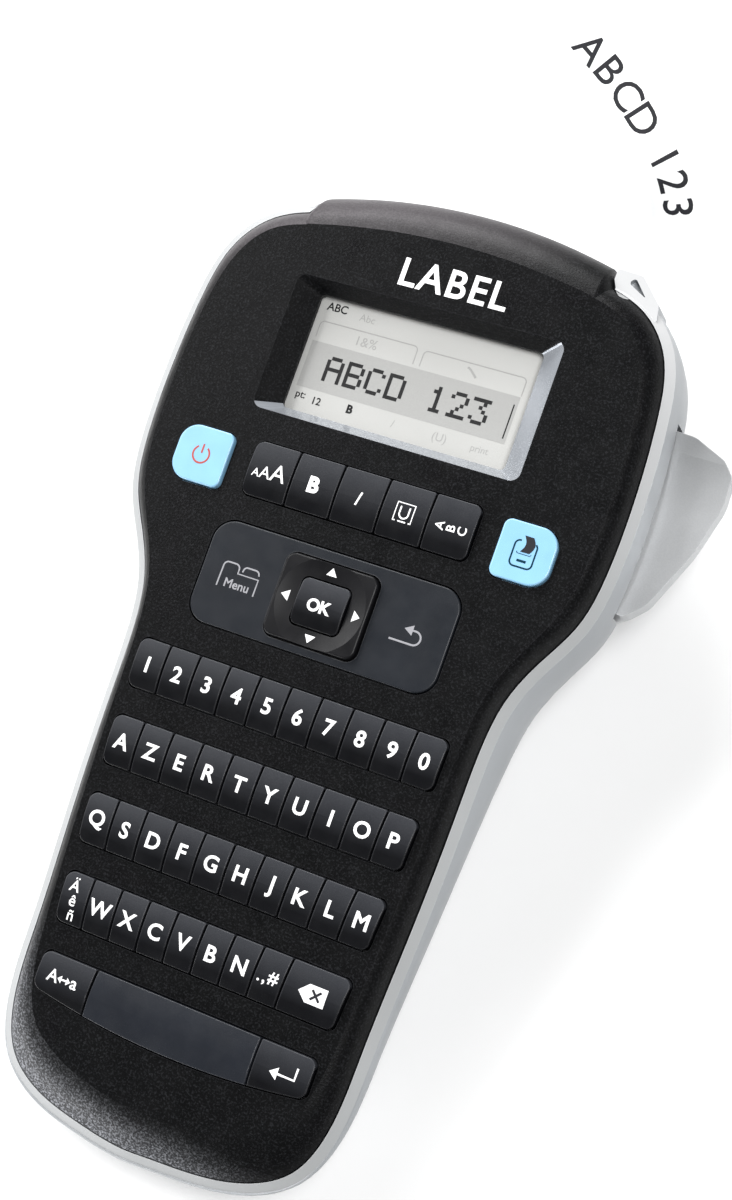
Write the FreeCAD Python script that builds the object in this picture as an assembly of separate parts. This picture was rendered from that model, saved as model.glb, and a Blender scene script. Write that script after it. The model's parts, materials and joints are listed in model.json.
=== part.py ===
"""Handheld label maker: case, keyboard, display, cutter lever, tape bay and battery bay.

Most parts are drawn in the face frame (front face flat at z = 0, display end at +Y)
and then tipped by TILT so that the flat back rests on z = 0 of the row frame.
Parts that line up with the back (cassette, cells, rollers, gears, screws) are drawn
in the row frame directly.  All lengths are millimetres.
"""
import FreeCAD, Part
import math
import os

V = FreeCAD.Vector
os.makedirs("parts", exist_ok=True)

# ---------------------------------------------------------------- driving dimensions
TILT = 9.0             # angle between the front face and the back, degrees
BACK_Z = -24.0         # depth of the back plane under the face at y = BACK_Y
BACK_Y = -100.0
SHIFT_Y = -32.6        # puts the origin between battery cover and cassette door

RIM_Z = -4.2           # level where the dark cover meets the case rim
RIM_WIDTH = 2.25       # width of the light rim around the cover
RIM_DROP = 1.6         # bevel of the rim
SEAM = 0.3             # gap between cover and case
WALL = 2.1             # shell thickness
SKIRT_Z = -8.0         # lower edge of the cover's skirt

ROW_PITCH = 17.0       # keyboard row pitch
KEY_DEPTH = 11.1       # key size along Y
ROW_HALF = [35.9, 35.5, 34.7, 33.5, 32.1]   # half width of the keyboard at each row top
KEY_GAP = 0.45         # gap between neighbouring keys
KEY_TOP = 1.25         # crown height of a key above the face
KEY_ROOT = -3.1        # underside of a key
KEY_LIP = 0.7          # retaining lip under the cover
KEY_TRAVEL = 0.8

DISPLAY = (62.3, 30.9, 69.15)    # recess width, height, centre y
WINDOW = (51.9, 26.0, 69.15)     # clear window seen in the recess
WINDOW_Z = -4.2

BOARD_TOP = -9.4
BOARD_T = 1.6
MAT_TOP = -4.3
MAT_T = 1.2

TAPE_X = 34.0          # plane of the tape where it leaves the case
TAPE_W = 12.0
TAPE_T = 0.2
TAPE_Z = 14.5          # height of the tape's middle in the row frame
BLADE = (38.3, 40.6, 50.8, 51.4)    # cutting blade at rest
BAY = (-27.0, 42.5, 10.5, 69.0)     # cassette bay in the row frame
BAY_FLOOR = 21.5
DOOR = (-24.5, 40.5, 11.3, 58.0)    # cassette door
DOOR_PIVOT = (11.0, 0.9)            # y and z of the hinge line
COVER = (-16.9, 16.9, -103.7, -10.6)
CELL_R = 5.2
CELL_L = 44.4
CELL_PITCH = 11.3
PLATEN = (36.75, 43.0)
MODULE = 0.8
TEETH = {"platen": 16, "idler": 14, "pinion": 8}
GEAR_Z = (25.0, 28.0)
SCREWS = [(-27, -116), (27, -116), (-36, -4), (36, -4), (-38, 58)]
SCREW_SEAT = 12.0

PIVOT = (51.3, 40.0)   # cutter lever pivot, face frame
LEVER_Z = (-32.4, -14.2)
NOTCH = (37.87, 100.2, 2.9)  # round notch in the hood at the tape mouth
PIN_R = 1.5
FIT = 0.05             # running clearance on a radius

# right half of the cover's edge, from the foot up to the display end
EDGE = [(0, -100.0), (14, -98.9), (25.5, -96), (32.8, -91), (36.8, -82), (38.2, -65), (39.4, -40),
        (40.3, -12), (40.7, 2), (42.2, 11.5), (46.6, 21.5), (51.1, 30), (53.4, 42), (53.7, 60),
        (52.6, 76), (49.6, 88), (43, 95.5), (30, 99.8), (15, 102), (0, 102.6)]
# the same points on the raised flat part of the face
FACE = [(0, -91.4), (12, -90.4), (22.5, -87.2), (29.3, -82.4), (32.6, -75.5), (34.7, -62), (36.3, -39),
        (37.5, -12), (38.1, 3), (40, 13.5), (44.6, 23.5), (48.5, 32), (50.2, 43), (50.3, 60),
        (49.2, 74), (46.6, 84.5), (41.5, 91.5), (30, 95.6), (15, 98), (0, 98.7)]


# ---------------------------------------------------------------- helpers
def tipped(shape):
    """Move a shape from the face frame to the row frame."""
    s = shape.copy()
    s.rotate(V(0, 0, 0), V(1, 0, 0), TILT)
    a = math.radians(TILT)
    lift = -(BACK_Y * math.sin(a) + BACK_Z * math.cos(a))
    s.translate(V(0, SHIFT_Y, lift))
    return s


def tipped_point(p):
    a = math.radians(TILT)
    lift = -(BACK_Y * math.sin(a) + BACK_Z * math.cos(a))
    return V(p.x, p.y * math.cos(a) - p.z * math.sin(a) + SHIFT_Y,
             p.y * math.sin(a) + p.z * math.cos(a) + lift)


def save(node, shapes):
    """Write one node: a single solid or a group of solids."""
    if not isinstance(shapes, (list, tuple)):
        shapes = [shapes]
    solids = [s for sh in shapes for s in sh.Solids]
    out = solids[0] if len(solids) == 1 else Part.makeCompound(solids)
    out.exportStep("parts/%s.step" % node)


def box(x0, x1, y0, y1, z0, z1):
    return Part.makeBox(x1 - x0, y1 - y0, z1 - z0, V(x0, y0, z0))


def rod(x, y, z0, z1, r):
    return Part.makeCylinder(r, z1 - z0, V(x, y, z0))


def full_loop(half):
    """Mirror a right half outline into a closed list of points."""
    left = [(-x, y) for x, y in reversed(half[1:-1])]
    return list(half) + left


def offset_points(pts, d):
    """Move each point of a closed outline outward by d along its normal."""
    out = []
    n = len(pts)
    for i in range(n):
        ax, ay = pts[i - 1]
        bx, by = pts[(i + 1) % n]
        tx, ty = bx - ax, by - ay
        s = math.hypot(tx, ty)
        out.append((pts[i][0] + d * ty / s, pts[i][1] - d * tx / s))
    return out


def shrunk_points(pts, d):
    """Scale the outline about its middle so that it comes in by about d."""
    return [(x * (1 - d / 47.0), 1 + (y - 1) * (1 - d / 103.0)) for x, y in pts]


def shaped(pts, pull, fill):
    """Pull the display end in by pull and widen the waist by fill."""
    out = []
    for x, y in pts:
        wide = math.copysign(fill * math.exp(-((y - 8) / 22.0) ** 2), x)
        back = pull * ((y - 60) / 42.0) ** 2 if y > 60 else 0.0
        out.append((x + wide, y - back))
    return out


def plane_z(foot, head):
    """Level that runs from foot (y = -100) to head (y = 105)."""
    return lambda y: foot + (head - foot) * (y + 100.0) / 205.0


def loop_wire(pts, level):
    """Smooth closed wire through the points, on a level or a sloping plane, in ten arcs."""
    z = level if callable(level) else (lambda y: level)
    poles = [V(x, y, z(y)) for x, y in pts]
    curve = Part.BSplineCurve()
    curve.interpolate(poles, PeriodicFlag=True)
    cuts = [curve.parameter(poles[i]) for i in (0, 4, 8, 12, 16, 19, 22, 26, 30, 34)]
    cuts.append(curve.LastParameter)
    cuts[0] = curve.FirstParameter
    return Part.Wire([curve.toShape(a, b) for a, b in zip(cuts, cuts[1:])])


def loft(wires, ruled=False):
    return Part.makeLoft(wires, True, ruled)


def rounded(pts, radii, z0, z1):
    """Prism on a polygon whose corners are rounded; pts run anticlockwise."""
    n = len(pts)
    edges = []
    ends = []
    for i in range(n):
        p, a, b = V(*pts[i], z0), V(*pts[i - 1], z0), V(*pts[(i + 1) % n], z0)
        r = radii[i]
        u, w = (a - p).normalize(), (b - p).normalize()
        half = u.getAngle(w) / 2
        run = r / math.tan(half)
        mid = (u + w).normalize()
        c = p + mid * (r / math.sin(half))
        ends.append((p + u * run, c - mid * r, p + w * run))
    for i in range(n):
        s, m, e = ends[i]
        if radii[i] > 0:
            edges.append(Part.Arc(s, m, e).toShape())
        nxt = ends[(i + 1) % n][0]
        if (nxt - e).Length > 1e-6:
            edges.append(Part.LineSegment(e, nxt).toShape())
    return Part.Face(Part.Wire(edges)).extrude(V(0, 0, z1 - z0))


def rounded_box(x0, x1, y0, y1, r, z0, z1):
    rr = r if isinstance(r, (list, tuple)) else [r] * 4
    return rounded([(x0, y0), (x1, y0), (x1, y1), (x0, y1)], rr, z0, z1)


def merged(shape):
    """Join neighbouring faces of one surface where that keeps the solid sound."""
    try:
        out = shape.removeSplitter()
        if out.isValid() and abs(out.Volume - shape.Volume) < 1e-3 * abs(shape.Volume):
            return out
    except Exception:
        pass
    return shape


def softened(shape, r, pick):
    """Fillet the edges chosen by pick; keep the sharp shape if that fails."""
    edges = [e for e in shape.Edges if pick(e)]
    if not edges:
        return shape
    try:
        out = shape.makeFillet(r, edges)
        if out.isValid() and out.Volume > 0.5 * shape.Volume:
            return out
    except Exception:
        pass
    return shape


# ---------------------------------------------------------------- case shells
EDGE_LOOP = full_loop(EDGE)
FACE_LOOP = full_loop(FACE)


def case_outer():
    back = -24 - 205 * math.tan(math.radians(TILT))
    bevel = loft([loop_wire(offset_points(EDGE_LOOP, SEAM), RIM_Z - 0.1),
                  loop_wire(offset_points(EDGE_LOOP, RIM_WIDTH), RIM_Z - RIM_DROP)], True)
    wide = offset_points(EDGE_LOOP, RIM_WIDTH - 0.2)
    body = loft([loop_wire(offset_points(EDGE_LOOP, RIM_WIDTH), RIM_Z - RIM_DROP),
                 loop_wire(shaped(wide, 1.5, 1.2), plane_z(-8.7, -27)),
                 loop_wire(shaped(shrunk_points(EDGE_LOOP, 2.2), 5, 1.5), plane_z(-15.2, -42)),
                 loop_wire(shaped(shrunk_points(EDGE_LOOP, 10), 7, 1.5), plane_z(-21.2, -52.4)),
                 loop_wire(shaped(shrunk_points(EDGE_LOOP, 19), 8, 0), plane_z(-24, back))])
    return bevel.fuse(body)


def case_inner():
    back = -24 + WALL - 205 * math.tan(math.radians(TILT))
    return loft([loop_wire(offset_points(EDGE_LOOP, SEAM), -4.0),
                 loop_wire(offset_points(EDGE_LOOP, SEAM), -8.6),
                 loop_wire(shaped(offset_points(EDGE_LOOP, 0.0), 1.5, 1.0), plane_z(-9.8, -25)),
                 loop_wire(shaped(shrunk_points(EDGE_LOOP, 4.9), 5, 1.4), plane_z(-15.0, -39.5)),
                 loop_wire(shaped(shrunk_points(EDGE_LOOP, 12.2), 7, 1.4), plane_z(-19.6, -50.2)),
                 loop_wire(shaped(shrunk_points(EDGE_LOOP, 20), 8, 0), plane_z(-24 + WALL, back))])


def cover_outer():
    mid = [(e[0] * 0.55 + f[0] * 0.45, e[1] * 0.55 + f[1] * 0.45) for e, f in zip(EDGE_LOOP, FACE_LOOP)]
    dome = loft([loop_wire(EDGE_LOOP, RIM_Z), loop_wire(mid, -1.5), loop_wire(FACE_LOOP, 0)])
    skirt = loft([loop_wire(EDGE_LOOP, SKIRT_Z), loop_wire(EDGE_LOOP, RIM_Z)], True)
    return dome.fuse(skirt)


def cover_inner():
    mid = [(e[0] * 0.55 + f[0] * 0.45, e[1] * 0.55 + f[1] * 0.45) for e, f in zip(EDGE_LOOP, FACE_LOOP)]
    low = offset_points(EDGE_LOOP, -1.8)
    dome = loft([loop_wire(low, RIM_Z - 1.0), loop_wire(offset_points(mid, -1.6), -3.4),
                 loop_wire(offset_points(FACE_LOOP, -1.4), -2.2)])
    skirt = loft([loop_wire(low, SKIRT_Z - 1), loop_wire(low, RIM_Z - 1.0)], True)
    return dome.fuse(skirt)


def visor_wire(level, side_y, mid_y, half, back_y):
    """Outline of the hood: bowed front, and sides that sweep out into the cover's edge."""
    a, m, b = V(-half, side_y, level), V(0, mid_y, level), V(half, side_y, level)
    edges = [Part.Arc(a, m, b).toShape()]
    ends = []
    for s, p in ((1, b), (-1, a)):
        curve = Part.BezierCurve()
        curve.setPoles([p, p + V(1.9 * s, -0.6, 0), p + V(1.6 * s, -5.6, 0), p + V(7 * s, -8, 0)])
        edges.append(curve.toShape())
        ends += [p + V(7 * s, -8, 0), V(s * (half + 7), back_y, level)]
    edges += [Part.makeLine(ends[0], ends[1]), Part.makeLine(ends[1], ends[3]), Part.makeLine(ends[3], ends[2])]
    return Part.Wire(Part.__sortEdges__(edges))


def visor(grow=0.0, low=-15.0):
    """Hood over the display end, from the face down to its lower edge."""
    g = grow
    slope = loft([visor_wire(g, 95.2 + g, 98.7 + g, 32.8 + g, 84 - g),
                  visor_wire(-2.4 + g, 100.3 + g, 104.4 + g, 32.8 + g, 84 - g),
                  visor_wire(-9.0, 104.4 + g, 108.5 + g, 32.6 + g, 84 - g)])
    front = loft([visor_wire(-9.0, 104.4 + g, 108.5 + g, 32.6 + g, 84 - g),
                  visor_wire(low, 104.4 + g, 108.5 + g, 32.6 + g, 84 - g)], True)
    return slope.fuse(front)


def visor_hollow():
    slope = loft([visor_wire(-2.2, 92.4, 96.0, 30.6, 80), visor_wire(-4.8, 97.1, 101.2, 30.6, 80),
                  visor_wire(-9.5, 101.0, 105.1, 30.6, 80)])
    front = loft([visor_wire(-9.5, 101.0, 105.1, 30.6, 80), visor_wire(-16, 101.0, 105.1, 30.6, 80)], True)
    return slope.fuse(front)


# ---------------------------------------------------------------- keyboard
def half_width(y):
    t = min(max(-y / ROW_PITCH, 0), 4)
    i = min(int(t), 3)
    return ROW_HALF[i] + (ROW_HALF[i + 1] - ROW_HALF[i]) * (t - i)


def row_x(k, y):
    return (k / 5.0 - 1.0) * half_width(y)


def row_patch(row, k0, k1, grow, z0, z1, r_end=1.8):
    """Prism over keys k0 to k1 of one keyboard row; grow < 0 makes a key, > 0 an opening."""
    top = -ROW_PITCH * row
    low = top - (KEY_DEPTH if row < 4 else 12.5)
    pts = [(row_x(k0, low) - grow, low - grow), (row_x(k1, low) + grow, low - grow),
           (row_x(k1, top) + grow, top + grow), (row_x(k0, top) - grow, top + grow)]
    rl = r_end if k0 == 0 else 0.35
    rr = r_end if k1 == 10 else 0.35
    if row < 4:
        return rounded(pts, [rl, rr, rr, rl], z0, z1)
    prism = rounded(pts, [0.3, 0.3, rr, rl], z0, z1)
    bow = Part.makeCylinder(172.5 + grow, z1 - z0, V(0, 93.2, z0))
    prism = prism.common(bow)
    return softened(prism, 2.2, lambda e: is_upright(e) and abs(e.CenterOfMass.x) > 29.5
                    and e.CenterOfMass.y < -75)


def is_upright(e):
    b = e.BoundBox
    return b.XLength < 1e-3 and b.YLength < 1e-3


def crowned(prism, top, radius):
    """Round the top of a key over a cylinder that runs along X."""
    b = prism.BoundBox
    cyl = Part.makeCylinder(radius, 200, V(-100, (b.YMin + b.YMax) / 2, top - radius), V(1, 0, 0))
    cap = prism.common(cyl)
    return softened(cap, 0.25, lambda e: e.BoundBox.ZMin > top - 1.4 and not is_upright(e))


def lip(x0, x1, y0, y1):
    return box(x0, x1, y0 - KEY_LIP, y1 + KEY_LIP, KEY_ROOT, KEY_ROOT + 0.65)


def row_key(row, k0, k1):
    prism = row_patch(row, k0, k1, -0.2, KEY_ROOT, KEY_TOP + 0.5)
    key = crowned(prism, KEY_TOP, 22)
    b = prism.BoundBox
    low = b.YMin if row < 4 else -77.5
    inset = 2.4 if (k0 == 0 or k1 == 10) else 1.0
    return merged(key.fuse(lip(b.XMin + inset, b.XMax - inset, low, b.YMax)))


def plain_key(x0, x1, y0, y1, r, top, crown=None):
    prism = rounded_box(x0, x1, y0, y1, r, KEY_ROOT, top + (0.5 if crown else 0))
    if crown:
        key = crowned(prism, top, crown)
    else:
        key = softened(prism, 0.4, lambda e: e.BoundBox.ZMin > top - 0.1)
    return merged(key.fuse(lip(x0 + 2.5, x1 - 2.5, y0, y1)))


FORMAT = (26.2, 35.0, 47.3)
NAV = (28.6, 6.6, 29.2)
RING = (10.6, 8.6, 26.6)
OK = (5.5, 12.4, 22.5)
BLUE = (31.3, 43.6, 34.3, 46.6)


def keys():
    out = {}
    for i, name in enumerate("1234567890"):
        out["key_" + name] = [row_key(0, i, i + 1)]
    for i, name in enumerate("azertyuiop"):
        out["key_" + name] = [row_key(1, i, i + 1)]
    out["keys_home_row"] = [row_key(2, i, i + 1) for i in range(10)]
    out["key_accent"] = [row_key(3, 0, 1)]
    out["keys_low_row"] = [row_key(3, i, i + 1) for i in range(1, 7)]
    out["key_symbol"] = [row_key(3, 7, 8)]
    out["key_backspace"] = [row_key(3, 8, 10)]
    out["key_shift"] = [row_key(4, 0, 2)]
    out["key_space"] = [row_key(4, 2, 8)]
    out["key_enter"] = [row_key(4, 8, 10)]
    w, y0, y1 = FORMAT
    step = 2 * w / 5
    for i, name in enumerate(["size", "bold", "italic", "frame", "turn"]):
        a = -w + i * step
        rr = [1.8 if i == 0 else 0.4, 1.8 if i == 4 else 0.4]
        radii = [rr[0], rr[1], rr[1], rr[0]]
        out["key_" + name] = [plain_key(a + 0.2, a + step - 0.2, y0 + 0.2, y1 - 0.2, radii, KEY_TOP, 26)]
    x0, x1, y0, y1 = BLUE
    out["key_print"] = [plain_key(x0, x1, y0, y1, [1.7, 4.2, 4.2, 1.7], 1.0)]
    out["key_power"] = [plain_key(-x1, -x0, y0, y1, [4.2, 1.7, 1.7, 4.2], 1.0)]
    out["nav_plate"] = [nav_plate()]
    out["direction_ring"] = [direction_ring()]
    out["key_ok"] = [ok_key()]
    return out


def nav_plate():
    w, y0, y1 = NAV
    plate = rounded_box(-w, w, y0, y1, 4.8, -1.6, 0.35)
    plate = softened(plate, 0.35, lambda e: e.BoundBox.ZMin > 0.3)
    rw, r0, r1 = RING
    hole = rounded_box(-rw - 0.4, rw + 0.4, r0 - 0.4, r1 + 0.4, 2.6, -5, 5)
    plate = plate.cut(hole)
    feet = [box(sx * 20 - 5, sx * 20 + 5, 13, 23, KEY_ROOT, -1.5) for sx in (-1, 1)]
    return merged(plate.fuse(feet))


def direction_ring():
    w, y0, y1 = RING
    ow, o0, o1 = OK
    ring = rounded_box(-w, w, y0, y1, 2.2, KEY_ROOT, 1.7)
    ring = softened(ring, 0.5, lambda e: e.BoundBox.ZMin > 1.6)
    ring = ring.cut(rounded_box(-ow - 0.35, ow + 0.35, o0 - 0.35, o1 + 0.35, 1.7, -6, 6))
    cy = (y0 + y1) / 2
    return ring.cut(Part.makeSphere(35, V(0, cy, 35.25)))


def ok_key():
    w, y0, y1 = OK
    prism = rounded_box(-w, w, y0, y1, 1.4, KEY_ROOT, 2.2)
    return crowned(prism, 1.75, 18)


def key_openings():
    cuts = [row_patch(r, 0, 10, 0.15, -9, 4) for r in range(5)]
    w, y0, y1 = FORMAT
    cuts.append(rounded_box(-w - 0.1, w + 0.1, y0 - 0.1, y1 + 0.1, 2.0, -9, 4))
    w, y0, y1 = NAV
    cuts.append(rounded_box(-w - 0.35, w + 0.35, y0 - 0.35, y1 + 0.35, 5.1, -9, 4))
    x0, x1, y0, y1 = BLUE
    g = 0.3
    cuts.append(rounded_box(x0 - g, x1 + g, y0 - g, y1 + g, [2, 4.5, 4.5, 2], -9, 4))
    cuts.append(rounded_box(-x1 - g, -x0 + g, y0 - g, y1 + g, [4.5, 2, 2, 4.5], -9, 4))
    return cuts


# ---------------------------------------------------------------- front cover
def rect_wire(w, h, cy, z, r):
    f = rounded_box(-w / 2, w / 2, cy - h / 2, cy + h / 2, r, z, z + 1)
    return min(f.Faces, key=lambda q: q.CenterOfMass.z).OuterWire


def boss_columns(r, z0, z1):
    return [rod(x, y, z0, z1, r) for x, y in SCREWS]


def untip(shape):
    """Row frame back to the face frame."""
    a = math.radians(TILT)
    lift = -(BACK_Y * math.sin(a) + BACK_Z * math.cos(a))
    s = shape.copy()
    s.translate(V(0, -SHIFT_Y, -lift))
    s.rotate(V(0, 0, 0), V(1, 0, 0), -TILT)
    return s


def front_cover():
    outer = cover_outer().fuse(visor())
    hollow = [cover_inner(), visor_hollow()]
    shell = outer.cut(hollow)
    w, h, cy = DISPLAY
    frame = rounded_box(-w / 2 - 1.5, w / 2 + 1.5, cy - h / 2 - 1.5, cy + h / 2 + 1.5, 3, -6.3, -1.2)
    columns = [untip(c).common(outer) for c in boss_columns(3.0, SCREW_SEAT + 3.2, 45)]
    shell = shell.fuse([frame] + columns)
    bevel = loft([rect_wire(w, h, cy, 0.3, 2.2), rect_wire(WINDOW[0], WINDOW[1], cy, WINDOW_Z, 1.2)], True)
    through = rounded_box(-WINDOW[0] / 2, WINDOW[0] / 2, cy - WINDOW[1] / 2, cy + WINDOW[1] / 2, 1.2, -7, -4)
    seat = box(-27.6, 27.6, cy - 14.4, cy + 14.4, -7, WINDOW_Z - 0.9)
    shell = shell.cut([bevel, through, seat] + key_openings())
    pilot = [untip(c) for c in boss_columns(1.25, 0, SCREW_SEAT + 9.0)]
    shell = shell.cut(pilot + [rod(NOTCH[0], NOTCH[1], -20, 5, NOTCH[2])])
    return merged(shell)


# ---------------------------------------------------------------- rear case
def row_shell_part(shell, b, z1):
    return shell.common(untip(box(b[0], b[1], b[2], b[3], -2, z1)))


def hood_collar(outer):
    """Light rim that follows the hood at the left, and the nose at the tape mouth on the right."""
    left = visor(0, -15.0)
    left.translate(V(-1.9, -0.9, -1.0))
    left = left.common(box(-45, -30, 90, 110, -15.0, -5.4))
    nose = rounded([(36, 93), (46, 94.5), (45.2, 98.2), (40.2, 103.2), (34.6, 103.6), (34.4, 97)],
                   [0.5, 0.5, 1.5, 1.8, 0.6, 0.5], -15.0, RIM_Z - 0.5)
    clear = loft([loop_wire(offset_points(EDGE_LOOP, SEAM), -20), loop_wire(offset_points(EDGE_LOOP, SEAM), 2)], True)
    clear = clear.fuse(visor(0.3, -15.3)).cut(rod(NOTCH[0], NOTCH[1], -25, 6, NOTCH[2] - 0.3))
    drop = rounded([(42.3, 98.7), (38.9, 102.4), (37.6, 101.2)], [0.1, 0.6, 0.6], RIM_Z - 2.3, 0)
    return [left.cut(clear), nose.cut([clear, drop])]


def rear_case(outer, inner):
    shell = outer.cut(inner)
    bx0, bx1, by0, by1 = BAY
    cx0, cx1, cy0, cy1 = COVER
    # walls of the cassette bay and the battery tray, trimmed to the body
    bay = box(bx0 - 1.4, bx1 + 1.4, by0 - 1.4, by1 + 1.4, -2, BAY_FLOOR + 1.5)
    bay = bay.cut(box(bx0, bx1, by0, by1, -3, BAY_FLOOR))
    tray = box(cx0 - 2.1, cx1 + 2.1, cy0 - 1.6, cy1 + 1.6, -2, 15.6)
    tray = tray.cut(box(cx0 - 0.7, cx1 + 0.7, cy0 - 0.2, cy1 + 0.2, -3, 14.2))
    bosses = boss_columns(3.8, -2, SCREW_SEAT + 3)
    inside = [untip(s).common(outer) for s in [bay, tray] + bosses]
    shell = shell.fuse(inside)
    cuts = [untip(box(DOOR[0] - 0.3, DOOR[1] + 0.3, 9.8, DOOR[3] + 0.3, -5, 12)).common(door_zone(inner)),
            untip(box(cx0 - 0.3, cx1 + 0.3, cy0 - 0.3, cy1 + 0.3, -5, 6))]
    cuts += [untip(c) for c in boss_columns(1.45, -5, 40) + boss_columns(3.1, -5, SCREW_SEAT)]
    # slot for the tape, window for the lever, notch for the hood, slots for the cover's tabs
    cuts.append(untip(box(TAPE_X - 1.4, TAPE_X + 1.4, 57, 90, TAPE_Z - 7.2, TAPE_Z + 7.0)))
    cuts.append(box(44.5, 70, 34.9, 77.4, LEVER_Z[0] - 0.5, LEVER_Z[1] + 0.5))
    cuts.append(visor(0.3, -15.3))
    for sx in (-1, 1):
        cuts.append(untip(box(sx * 9 - 3.4, sx * 9 + 3.4, cy1 - 1, cy1 + 3, WALL, 7)))
    shell = shell.cut(cuts)
    # lever bearings, roller bearing, idler axle, motor posts
    ears = [rod(PIVOT[0], PIVOT[1], LEVER_Z[0] - 3.5, LEVER_Z[0] - 0.4, 3.4),
            rod(PIVOT[0], PIVOT[1], LEVER_Z[1] + 0.4, LEVER_Z[1] + 3.0, 3.4)]
    adds = [e.common(outer) for e in ears]
    ix = PLATEN[0] - MODULE * (TEETH["platen"] + TEETH["idler"]) / 2
    mx = ix - MODULE * (TEETH["idler"] + TEETH["pinion"]) / 2
    posts = [rod(ix, PLATEN[1], BAY_FLOOR, GEAR_Z[1] + 0.6, 1.2)]
    posts += [rod(mx - 4.4, PLATEN[1] + dy, BAY_FLOOR + 1, GEAR_Z[1] + 1.45, 1.5) for dy in (-4.6, 4.6)]
    adds += [untip(p) for p in posts]
    adds += [untip(k) for k in case_knuckles()] + hood_collar(outer)
    shell = shell.fuse(adds)
    holes = [rod(PIVOT[0], PIVOT[1], LEVER_Z[0] - 3.0, LEVER_Z[1] + 2.6, PIN_R),
             untip(rod(PLATEN[0], PLATEN[1], BAY_FLOOR - 1, BAY_FLOOR + 3, 1.2 + FIT)),
             untip(hinge_wire(0.5))]
    return merged(shell.cut(holes))


def door_zone(inner):
    """Everything outside the cavity, so that the door opening only cuts the shell."""
    b = inner.BoundBox
    return box(b.XMin - 9, b.XMax + 9, b.YMin - 9, b.YMax + 9, -80, -30)


def hinge_wire(r):
    y, z = DOOR_PIVOT
    bars = [Part.makeCylinder(r, 14.6, V(x, y, z), V(1, 0, 0)) for x in (-21.3, 6.7)]
    return bars[0].fuse(bars[1])


def case_knuckles():
    y, z = DOOR_PIVOT
    out = []
    for x in (-21.3, -9.7, 6.7, 18.3):
        out.append(Part.makeCylinder(0.9, 3.0, V(x, y, z), V(1, 0, 0)))
        out.append(box(x, x + 3.0, 9.0, y, z - 0.9, z + 0.9))
    return out


def cassette_door(shell):
    x0, x1, y0, y1 = DOOR
    y, z = DOOR_PIVOT
    door = row_shell_part(shell, (x0, x1, y0, y1), 11.7)
    rest = [s for s in untip_inverse(door).Solids if s.BoundBox.ZMin < 3]
    door = max(rest, key=lambda s: s.Volume)
    for x in (-18.0, 10.0):
        door = door.fuse([Part.makeCylinder(0.9, 8.0, V(x, y, z), V(1, 0, 0)),
                          box(x, x + 8.0, y, y + 2.0, z - 0.9, z + 0.9)])
    for x in (-21.6, -10.0, 6.4, 18.0):
        door = door.cut(box(x, x + 3.6, 9, y + 1.3, -1, 4))
    door = door.cut([hinge_wire(0.5 + FIT), box(TAPE_X - 1.4, TAPE_X + 1.4, 44, y1 + 1, TAPE_Z - 7.2, 14),
                     box(BLADE[0] - 4.3, BLADE[1] + 0.5, BLADE[2] - 0.4, BLADE[3] + 0.4, TAPE_Z - 6.5, 14)])
    # finger notch at the free edge
    door = door.cut(Part.makeCylinder(7, 3, V(8, y1 + 4.5, -2)))
    return merged(door)


def untip_inverse(shape):
    return tipped(shape)


def battery_cover(shell):
    x0, x1, y0, y1 = COVER
    lid = tipped(row_shell_part(shell, COVER, 9))
    lid = max(lid.Solids, key=lambda s: s.Volume)
    for sx in (-1, 1):
        lid = lid.fuse([box(sx * 9 - 2.9, sx * 9 + 2.9, y1 - 1.4, y1 + 3.2, WALL + 0.25, WALL + 1.3),
                        box(sx * 9 - 2.9, sx * 9 + 2.9, y1 - 1.4, y1 - 0.4, WALL - 0.8, WALL + 1.3)])
    grip = [box(-8, 8, y0 + 6 + 2.2 * i, y0 + 7 + 2.2 * i, -1, 0.6) for i in range(5)]
    return merged(lid.cut(grip))


# ---------------------------------------------------------------- display, board, mat
def display_window():
    cy = WINDOW[2]
    return box(-27.4, 27.4, cy - 14.2, cy + 14.2, WINDOW_Z - 1.9, WINDOW_Z - 0.95)


def lcd_panel():
    cy = WINDOW[2]
    return box(-29, 29, cy - 15, cy + 15, BOARD_TOP + 0.05, WINDOW_Z - 2.25)


def circuit_board():
    loop = offset_points(EDGE_LOOP, -7.2)
    plate = loft([loop_wire(loop, BOARD_TOP - BOARD_T), loop_wire(loop, BOARD_TOP)], True)
    plate = plate.cut(box(-80, 80, 83.6, 120, -30, 10))
    chips = [box(-30, -14, 20, 34, BOARD_TOP - 3.4, BOARD_TOP - BOARD_T),
             box(10, 22, 0, 12, BOARD_TOP - 3.0, BOARD_TOP - BOARD_T)]
    plate = plate.fuse(chips)
    return merged(plate.cut([untip(c) for c in boss_columns(3.9, 0, 60)]))


def keypad_mat():
    pts = [(-32, -81), (32, -81), (36, 0), (44, 30), (44, 49.5), (-44, 49.5), (-44, 30), (-36, 0)]
    mat = rounded(pts, [3] * 8, BOARD_TOP + 0.05, MAT_TOP)
    return mat.cut([untip(c) for c in boss_columns(3.9, 0, 60)])


# ---------------------------------------------------------------- cutter
def lever_block(inset, z0, z1):
    """Lever outline with its outer side moved in by inset."""
    k = inset
    pts = [(47.8, 37.4), (57.0 - k, 35.8), (60.8 - k, 39.6), (66.2 - k, 52.3), (69.2 - k, 63.5),
           (69.0 - k, 69.9), (66.6 - k, 72.7), (59.4 - 0.6 * k, 75.8), (51.8, 76.2), (51.2, 60), (47.8, 45)]
    return rounded(pts, [2.6, 2.0, 4.5, 20, 12, 1.8, 2.0, 5, 0.5, 8, 3], z0, z1)


def lowest_wire(prism):
    return min(prism.Faces, key=lambda f: f.CenterOfMass.z).OuterWire


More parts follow.
